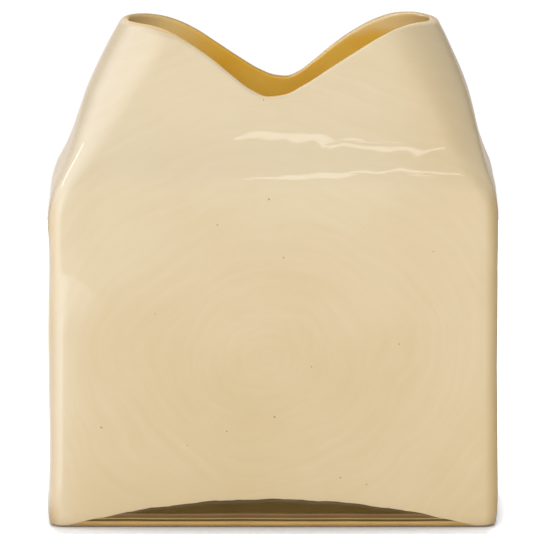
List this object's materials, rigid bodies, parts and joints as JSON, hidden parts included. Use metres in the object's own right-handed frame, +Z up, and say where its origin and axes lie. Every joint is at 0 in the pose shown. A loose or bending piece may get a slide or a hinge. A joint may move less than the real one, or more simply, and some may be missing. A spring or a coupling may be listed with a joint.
{
  "type": "pillow vase",
  "caption": "Blown-glass vase with a flat rectangular body, a drawn-in neck and a wavy pinched mouth; opaque cream casing over clear amber glass.",
  "frame": {"origin": "middle of the foot, on the surface that the vase stands on", "axes": "+Z up; X across the wide faces, +X to the right seen from the front; the front looks along -Y"},
  "size_m": [0.2, 0.11, 0.2215],
  "materials": {
    "amber_glass": "clear, fire-polished",
    "cream_glass": "opaque, glossy"
  },
  "bodies": {
    "root": {"amber_vessel": "amber_glass", "cream_casing": "cream_glass"}
  },
  "joints": []
}
